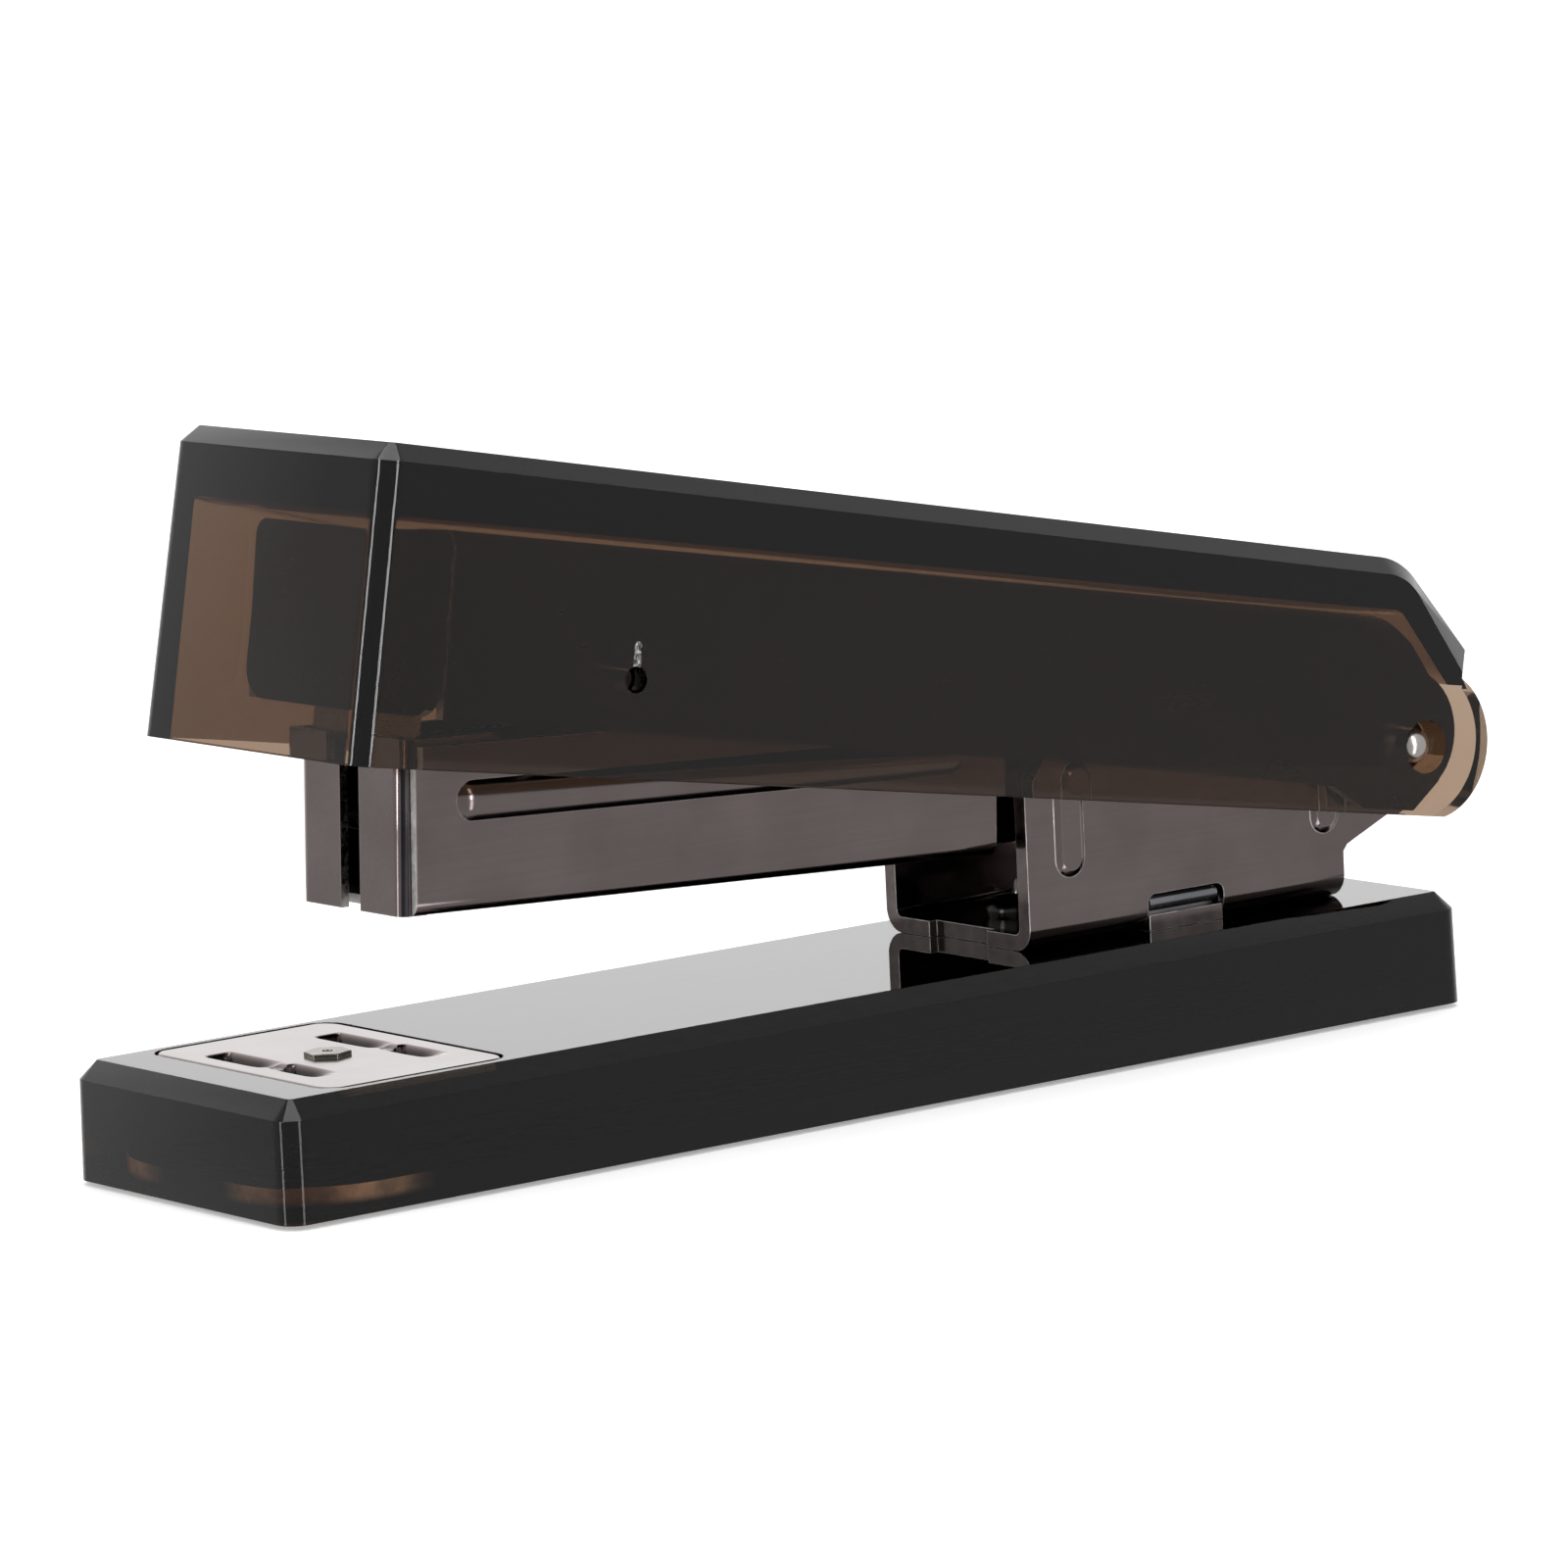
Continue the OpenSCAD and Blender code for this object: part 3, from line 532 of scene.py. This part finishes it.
def cover_body():
    c = COVER
    top_z = c["bottom"] + c["height"]
    top_x = cover_front(top_z)
    drop, slope = math.tan(c["drop"]), math.tan(c["slope"])
    ex, ez = c["end"]
    crest_x = (top_z + top_x * drop - ez - ex * slope) / (drop - slope)
    crest_z = ez + (ex - crest_x) * slope
    mean = (c["drop"] + c["slope"]) / 2
    out = c["crest_r"] / math.cos((c["slope"] - c["drop"]) / 2)
    cx, cz = crest_x - out * math.sin(mean), crest_z - out * math.cos(mean)
    points = []
    for side in (-1, 1):
        for z, r in ((c["bottom"], c["r"]), (top_z - c["chamfer"], c["r"]), (top_z, c["r"] - c["chamfer"])):
            ox, oy = cover_front(z) + c["r"], cover_half(z) - c["r"]
            for px, py in circle(ox, oy, r, 24, 90, 180):
                points.append((px, side * py, z))
        for i in range(25):
            face = c["drop"] + (c["slope"] - c["drop"]) * i / 24
            px, pz = cx + c["crest_r"] * math.sin(face), cz + c["crest_r"] * math.cos(face)
            lx, lz = px - c["chamfer"] * math.sin(face), pz - c["chamfer"] * math.cos(face)
            points.append((px, side * (cover_half(pz) - c["chamfer"]), pz))
            points.append((lx, side * cover_half(lz), lz))
        chamfer_low = ez - c["chamfer"] / math.cos(c["slope"])
        for z in (ez, c["top"]):
            points.append((ex, side * (cover_half(z) - c["chamfer"]), z))
        for z in (chamfer_low, c["top"]):
            points.append((ex - c["chamfer"], side * cover_half(z), z))
        points.append((c["foot"], side * cover_half(c["bottom"]), c["bottom"]))
    body = hull(points)
    lobe = prism(circle(*c["lobe"], 144), -c["half"], c["half"])
    z0, z1 = c["bottom"], 8.0
    taper = hull([(x, s * cover_half(z), z) for x in (-1, 10) for s in (-1, 1) for z in (z0, z1)])
    body = combine(body, [combine(lobe, [taper], "INTERSECT")], "UNION")
    inner = c["half"] - c["wall"]
    low, ceiling = c["bottom"] - 3, c["ceiling"]
    cavity = prism([(-c["reach"] + c["wall"], low), (cover_front(ceiling) + c["wall"], ceiling),
                    (-2.9, 12.35), (3.5, 5.75), (5.4, 5.75), (5.4, 10), (12, 10), (12, low)], -inner, inner)

    def everywhere(edge, test):
        return all(test(v.co) for v in edge.verts)

    def upright_front(edge):
        a, b = edge.verts
        return everywhere(edge, lambda p: p.x < -110) and abs(a.co.y - b.co.y) < 1

    soft = [e for e in cavity.edges if everywhere(e, lambda p: p.x < 3)
            and not everywhere(e, lambda p: p.z < -8) and not upright_front(e)]
    bmesh.ops.bevel(cavity, geom=soft, offset=0.7, segments=4, affect="EDGES", profile=0.5,
                    clamp_overlap=True)
    holes = [prism(circle(0, 0, c["hinge_hole"], 64), -20, 20), prism(circle(*PIN_HOLE, 48), -20, 20)]
    # Scraped groove that runs up from the pin hole, cut in as far as key_floor
    key_floor = 16.16
    key = [(-91.7, 2.1), (-90.9, 2.1), (-90.92, 5.1), (-91.12, 5.4), (-91.48, 5.4), (-91.68, 5.1)]
    keys = [prism(key, *sorted((s * key_floor, s * 18.0))) for s in (-1, 1)]
    bm = combine(body, [cavity, *holes, *keys], "DIFFERENCE")
    middles = [f.calc_center_median() for f in bm.faces]
    rough = [abs(m.x - PIN_HOLE[0]) < 0.75 and 2.9 < m.z < 6.1 and 16.1 < abs(m.y) < 16.5 for m in middles]
    obj = to_object(bm, "cover_body", HANDLE, "handle", ACRYLIC, smooth=25)
    obj.data.materials.append(SCUFFED)
    for face, scraped in zip(obj.data.polygons, rough):
        face.material_index = int(scraped)
    micro_bevel(obj, 0.00014)
    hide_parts("handle_cover")


cover_body()

# ---------------------------------------------------------------- carried-over CAD nodes


def finish_node(name, material, bevel=0.00015, tilt=0.0, sheared_where=None, edge=SHEARED,
                rim=None, darker_where=None):
    """Gives a CAD node its material, rounds its edges with modifiers and marks its sheared faces.

    rim is the material of the rounded edges, and darker_where picks the faces that get BEND."""
    obj = NODES[name]
    obj.data.materials.clear()
    obj.data.materials.append(material)
    back = (at_hinge(tilt) if tilt else WORLD).inverted() @ obj.matrix_world
    turn = back.to_3x3()
    for where, marked in ((sheared_where, edge), (darker_where, BEND)):
        if where:
            obj.data.materials.append(marked)
            for p in obj.data.polygons:
                if where(back @ p.center, (turn @ p.normal).normalized()):
                    p.material_index = len(obj.data.materials) - 1
    weld = obj.modifiers.new("weld", "WELD")
    weld.merge_threshold = 1e-6
    if bevel:
        flat = obj.modifiers.new("flat", "DECIMATE")
        flat.decimate_type = "DISSOLVE"
        flat.angle_limit = math.radians(0.5)
        flat.delimit = {"MATERIAL"}
        rounding = micro_bevel(obj, bevel, 30)
        if rim:
            obj.data.materials.append(rim)
            rounding.material = len(obj.data.materials) - 1


# Each test takes a face's middle and normal, in millimetres, in the frame that its node's tilt gives.

def bracket_cut(c, n):
    """The channel's ends, the tops of its walls and the edges of its side slots."""
    front_or_rear = abs(n.x) > 0.9 and (c.x < 20.3 or (c.x > 56.5 and c.z < 16))
    top = n.z > 0.6 and c.z > 20 and abs(n.y) < 0.2
    slot = 33.1 < c.x < 42.3 and 10.9 < c.z < 14.3 and abs(c.y) > 7.8
    return front_or_rear or top or (slot and (abs(n.x) > 0.5 or abs(n.y) > 0.9 and c.z < 12.3))


def shell_cut(c, n):
    """The channel's ends and the tops of its walls."""
    return abs(n.x) > 0.9 or (n.z > 0.9 and c.z > 7)


def track_cut(c, n):
    """The sides of the nose's slot, the foot of its flanges, the tops of the walls and the rear end."""
    slot_side = abs(n.y) > 0.9 and abs(c.y) < 1.6 and c.x < -108
    return slot_side or (n.z < -0.9 and c.x < -106.4) or (n.z > 0.9 and c.z > 5) or (n.x > 0.9 and c.x > 0)


def nose_bend(c, n):
    """The rounded upright bends of the nose."""
    return c.x < -107.8 and abs(c.y) > 7.2 and n.x < -0.12 and abs(n.y) > 0.12 and abs(n.z) < 0.5


def frame_cut(c, n):
    """The front, bottom and rear edges of the frame's sides."""
    sides = n.x < -0.9 and abs(c.y) > 11.6 and c.x > -109.9
    return sides or (n.z < -0.8 and c.z < 0) or (n.x > 0.8 and c.x > -6)


def ends_cut(c, n):
    return abs(n.x) > 0.9


finish_node("foot_pad", RUBBER, 0.0002)
finish_node("anvil_nut", NUT, 0.0001)
finish_node("anvil_screw", NICKEL, 0.0001)
finish_node("hinge_bracket", GUNMETAL, 0.00018, 0, bracket_cut, PLATED_EDGE, WORN_BURR)
finish_node("hinge_pin", NICKEL, 0)
finish_node("hinge_spacers", NICKEL, 0.00015)
finish_node("magazine_shell", GUNMETAL, 0.00014, MAGAZINE_TILT, shell_cut, BURR, BURR)
finish_node("staple_track", GUNMETAL, 0.0001, MAGAZINE_TILT, track_cut, darker_where=nose_bend)
finish_node("staple_core", GUNMETAL, 0.0001, MAGAZINE_TILT, ends_cut)
finish_node("follower_rod", NICKEL, 0)
finish_node("rod_stop", GUNMETAL, 0.0001)
finish_node("follower", GUNMETAL, 0.0001, MAGAZINE_TILT, ends_cut)
finish_node("handle_frame", BLACK, 0.00012, HANDLE_TILT, frame_cut, BURR)
finish_node("driver_blade", NICKEL, 0.00008)
finish_node("driver_rivets", NICKEL, 0.00008)
finish_node("cover_pins", GUNMETAL, 0.00008)
finish_node("handle_spring", SPRING, 0.0001, HANDLE_TILT, ends_cut)
finish_node("spring_rivet", NICKEL, 0.00008)

# ---------------------------------------------------------------- staples, springs and rivets


def staple_strip():
    """Separate staples, each a bent wire with chisel points, held together as a strip."""
    half, foot, crown, wire, bend = 6.45, -5.41, 0.59, 0.5, 0.55
    front, count, pitch, width, chisel = -106.2, 78, 0.5103, 0.47, 0.45
    outer = [(-half, foot), *circle(-half + bend, crown - bend, bend, 6, 180, 90),
             *circle(half - bend, crown - bend, bend, 6, 90, 0), (half, foot)]
    inner = [(half - wire, foot + chisel), (half - wire, crown - wire), (-half + wire, crown - wire),
             (-half + wire, foot + chisel)]
    parts = []
    for i in range(count):
        x = front + i * pitch
        staple = bar(outer + inner, x, x + width)
        ring = [e for e in staple.edges
                if e.calc_length() > 0.3 and abs(e.verts[0].co.x - e.verts[1].co.x) < 1e-6]
        bmesh.ops.bevel(staple, geom=ring, offset=0.07, segments=1, affect="EDGES", clamp_overlap=True)
        parts.append(staple)
    obj = to_object(join(parts), "staples", MAGAZINE, "magazine", STAPLE, smooth=35)
    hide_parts("staple_strip")


def coil_spring():
    """Coil round the rod between the follower and the rod stop, with closed turns at both ends, drawn at
    one length; on the stapler it is pressed together towards the rod stop as the follower slides back.
    """
    wire, mean, height, end_pitch = 0.3, 1.75, 3.8, 0.62
    follower_back, rod_stop_front = -58.75, -16.05
    x0, x1, active, closed = follower_back + wire, rod_stop_front - wire, 22, 2
    turns = [(i / 20 - closed) for i in range(20 * (active + 2 * closed) + 1)]
    tight = closed * end_pitch
    path = []
    for t in turns:
        if t < 0:
            x = x0 + tight + t * end_pitch
        elif t > active:
            x = x1 - tight + (t - active) * end_pitch
        else:
            x = x0 + tight + (x1 - x0 - 2 * tight) * t / active
        a = 2 * math.pi * t
        path.append((x, mean * math.cos(a), height + mean * math.sin(a)))
    obj = to_object(tube(path, wire), "follower_coil", MAGAZINE, "magazine", SPRING, smooth=60)
    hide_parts("follower_spring")
    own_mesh(obj)


CURL_HIGHLIGHT_FROM = 0.00845  # from here outwards the strip's tabs curl and get the lighter steel as a painted highlight, in metres


def lift_strip():
    """Bent strip with its foot on the bracket and its arm rising forward from its rear bend towards the
    magazine.
    """
    sheet, low, high, bend, arm, angle = 0.5, 12.3, 45.4, 2.4, 21.0, 7.65
    foot_front, tab_x, tab_length, tab_width, curl_y, curl_r = 33.2, 37.7, 8.4, 18.3, 9.2, 0.8
    rise, sweep = math.radians(angle), 180 - angle
    mid = Vector((high, low + bend))
    ahead, up = Vector((-math.cos(rise), math.sin(rise))), Vector((math.sin(rise), math.cos(rise)))
    top = [mid + up * bend + ahead * arm * i / 12 for i in range(12, -1, -1)]
    under = [mid + up * (bend - sheet) + ahead * arm * i / 12 for i in range(13)]
    outer = [mid + bend * Vector((math.cos(a), math.sin(a)))
             for a in (math.radians(90 - angle - sweep * i / 20) for i in range(1, 21))]
    inner = [mid + (bend - sheet) * Vector((math.cos(a), math.sin(a)))
             for a in (math.radians(-90 + sweep * i / 20) for i in range(20))]
    outline = top + outer + [Vector((33.5, low)), Vector((33.5, low + sheet))] + inner + under[:-1]
    outline = [tuple(p) for p in outline] + [tuple(under[-1])]
    strip = prism(outline, -5, 5)
    foot = column(round_rect((foot_front + high) / 2, 0, high - foot_front, 13, 0.6, 8), low, low + sheet)
    tabs = column(round_rect(tab_x, 0, tab_length, tab_width, 0.25, 6), low, low + sheet)
    curls = [bar(circle(s * curl_y, low + 1.0, curl_r, 32), 33.7, 41.7) for s in (-1, 1)]
    bm = combine(strip, [foot, tabs, *curls], "UNION")
    bmesh.ops.triangulate(bm, faces=[f for f in bm.faces if len(f.verts) > 8])
    obj = to_object(bm, "lift_strip", WORLD, material=SPRING_DARK, smooth=30)
    # Painted highlight: the curls get the lighter spring steel, and the rest of the strip keeps the darker
    # copy.
    obj.data.materials.append(SPRING)
    for face in obj.data.polygons:
        face.material_index = int(abs(face.center.y) > CURL_HIGHLIGHT_FROM)
    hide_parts("lift_spring")
    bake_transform(obj)


def smooth_step(value, low, high):
    t = min(max((value - low) / (high - low), 0.0), 1.0)
    return t * t * (3 - 2 * t)


def groove_depth(x, y):
    """Depth of the two clinching grooves, each made of two pockets that are steep at their +Y end."""
    deepest = 0.0
    for row in (-5.8, 5.6):
        for start, end, shift in ((-8.3, -1.0, 0.2), (-0.9, 8.3, -0.15)):
            across = 1 - smooth_step(abs(x - row - shift), 0.55, 1.5)
            along = smooth_step(end - y, 0.0, 0.7) * smooth_step(y - start, 0.0, 4.0)
            deepest = max(deepest, 0.98 * across * along)
        neck = (1 - smooth_step(abs(x - row), 0.3, 1.1)) * (1 - smooth_step(abs(y + 1.0), 0.6, 2.0))
        deepest = max(deepest, 0.34 * neck)
    return deepest


def anvil():
    """Stamped clinching plate: a fine grid whose border follows the rounded outline."""
    half_x, half_y, r, top, sheet, edge = 9.45, 13.8, 2.3, 10.79, 1.25, 0.4
    cols, rows, crowding = 160, 230, 0.35
    bm = bmesh.new()
    grid = []
    for j in range(rows + 1):
        even = 2 * j / rows - 1
        y = half_y * (crowding * math.sin(math.pi / 2 * even) + (1 - crowding) * even)
        over = max(abs(y) - (half_y - r), 0)
        reach = half_x - r + math.sqrt(max(r * r - over * over, 0))
        line = []
        for i in range(cols + 1):
            x = reach * (2 * i / cols - 1)
            rim = max(edge - (reach - abs(x)), edge - (half_y - abs(y)), 0.0)
            drop = edge - math.sqrt(max(edge * edge - rim * rim, 0.0))
            line.append(bm.verts.new((ANVIL_X + x, y, top - drop - groove_depth(x, y))))
        grid.append(line)
    for j in range(rows):
        for i in range(cols):
            bm.faces.new((grid[j][i], grid[j][i + 1], grid[j + 1][i + 1], grid[j + 1][i]))
    border = grid[0] + [row[-1] for row in grid[1:]] + grid[-1][-2::-1] + [row[0] for row in grid[-2:0:-1]]
    low = [bm.verts.new((v.co.x, v.co.y, top - sheet)) for v in border]
    for k in range(len(border)):
        n = (k + 1) % len(border)
        bm.faces.new((border[k], low[k], low[n], border[n]))
    bm.faces.new(low)
    obj = to_object(bm, "clinching_plate", WORLD, "base", STAMPED, smooth=40)
    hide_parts("anvil_plate")


def pad_rim():
    """Thin edge of adhesive between the pad and the block, bonded into the block with no air between."""
    bond, inward = 0.01, 0.17
    outer = (RECESS["l"] + 2 * bond, RECESS["w"] + 2 * bond, RECESS["r"] + bond)
    inner = (RECESS["l"] - 2 * inward, RECESS["w"] - 2 * inward, RECESS["r"] - inward)
    rim = combine(column(round_rect(0, 0, *outer, 32), 0.45, RECESS["top"] + bond),
                  [column(round_rect(0, 0, *inner, 32), 0.0, 3.0)], "DIFFERENCE")
    # The adhesive's material paints a glow at its front corners in place of light seen through the block.
    obj = to_object(rim, "pad_adhesive_painted_glow", WORLD, "base", PAD_PAINTED_GLOW, smooth=30)


def eyelets():
    """Hollow rivets with a rolled rim above and below."""
    parts = []
    for x in RIVETS:
        rim = circle(1.95, 13.05, 0.95, 12, 180, 0)
        upper = [(0.9, 13.0), *[(r, z) for r, z in rim if z > 13.1], (2.9, 13.0), (2.75, 12.33)]
        shank = [(1.5, 12.33), (1.5, 4.6)]
        lower = [(2.5, 4.6), (2.7, 4.4), (2.7, 3.4), (2.4, 3.05), (1.2, 3.05), (0.9, 3.35)]
        profile = upper + shank + lower
        parts.append(lathe(profile, (x, 0)))
    obj = to_object(join(parts), "eyelets", WORLD, "base", BLACK, smooth=35)
    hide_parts("bracket_rivets")


anvil()
pad_rim()
staple_strip()
coil_spring()
lift_strip()
eyelets()

# ---------------------------------------------------------------- stage, light and camera


def area(name, at, target, size, strength):
    """Soft panel that gives off the same light all over, and that the camera doesn't see."""
    lamp = bpy.data.lights.new(name, "AREA")
    lamp.shape = "RECTANGLE"
    lamp.size, lamp.size_y = size
    lamp.energy = strength * math.pi * size[0] * size[1]
    obj = bpy.data.objects.new(name, lamp)
    obj.location = at
    obj.rotation_euler = (Vector(target) - Vector(at)).to_track_quat("-Z", "Y").to_euler()
    obj.visible_camera = False
    bpy.context.scene.collection.objects.link(obj)


AWAY = (0.607, 0.795, 0.0)  # level direction from the camera to the object


def sky():
    """White backdrop behind the object, falling off to a darker studio on the viewer's side."""
    world = bpy.data.worlds.new("studio")
    bpy.context.scene.world = world
    world.use_nodes = True
    tree = world.node_tree
    coord = tree.nodes.new("ShaderNodeTexCoord")
    dot = tree.nodes.new("ShaderNodeVectorMath")
    dot.operation = "DOT_PRODUCT"
    dot.inputs[1].default_value = AWAY
    tree.links.new(coord.outputs["Generated"], dot.inputs[0])
    share = map_range(tree, dot.outputs["Value"], -1.0, 1.0)
    tone = ramp(tree, share, [(0.0, 0.29), (0.37, 0.35), (0.63, 0.34), (0.85, 0.75), (1.0, 1.0)])
    background = tree.nodes["Background"]
    background.inputs["Strength"].default_value = 1.42
    tree.links.new(tone, background.inputs["Color"])


def studio():
    sky()
    floor_bm = bmesh.new()
    bmesh.ops.create_circle(floor_bm, cap_ends=True, segments=96, radius=0.19)
    floor_mat, _, shader, _ = new_material("floor_paper")
    shader.inputs["Base Color"].default_value = (0.9, 0.9, 0.9, 1)
    shader.inputs["Emission Color"].default_value = (1, 1, 1, 1)
    shader.inputs["Emission Strength"].default_value = 0.3
    shader.inputs["Roughness"].default_value = 0.9
    shader.inputs["Specular IOR Level"].default_value = 0.0
    floor = to_object(floor_bm, "floor", material=floor_mat, smooth=0)
    floor.location.z = -0.00001
    floor.visible_glossy = False
    centre = (0, 0, 0.03)
    area("front_strip", (-1.1, 0.0, 0.48), centre, (0.2, 1.0), 7.5)
    area("side_strip", (0.0, -1.1, 0.48), centre, (0.2, 1.0), 7.5)
    area("front_low", (-1.1, 0.0, -0.42), centre, (0.2, 0.8), 3.0)
    area("side_low", (0.0, -1.1, -0.42), centre, (0.2, 0.8), 3.0)
    area("top_panel", (0.1, 0.1, 1.3), centre, (1.2, 1.2), 2.2)


studio()


CAMERA_AT = (-0.417417, -0.546589, 0.128647)
CAMERA_TURN = (37.38, 8.3457, -2.7645)  # azimuth, downward tilt and roll, in degrees


def camera():
    data = bpy.data.cameras.new("camera")
    data.sensor_width = 36.0
    data.lens = 179.43
    data.clip_start, data.clip_end = 0.01, 20
    cam = bpy.data.objects.new("camera", data)
    az, el, roll = (math.radians(v) for v in CAMERA_TURN)
    ahead = Vector((math.sin(az) * math.cos(el), math.cos(az) * math.cos(el), -math.sin(el)))
    right = Vector((math.cos(az), -math.sin(az), 0))
    up = right.cross(ahead)
    right2 = math.cos(roll) * right + math.sin(roll) * up
    up2 = -math.sin(roll) * right + math.cos(roll) * up
    turn = Matrix((right2, up2, -ahead)).transposed().to_4x4()
    cam.matrix_world = Matrix.Translation(CAMERA_AT) @ turn
    bpy.context.scene.collection.objects.link(cam)
    bpy.context.scene.camera = cam


camera()
bpy.context.scene.view_settings.view_transform = "Standard"
bpy.context.scene.cycles.max_bounces = 24
bpy.context.scene.cycles.transmission_bounces = 20
bpy.context.scene.cycles.glossy_bounces = 10
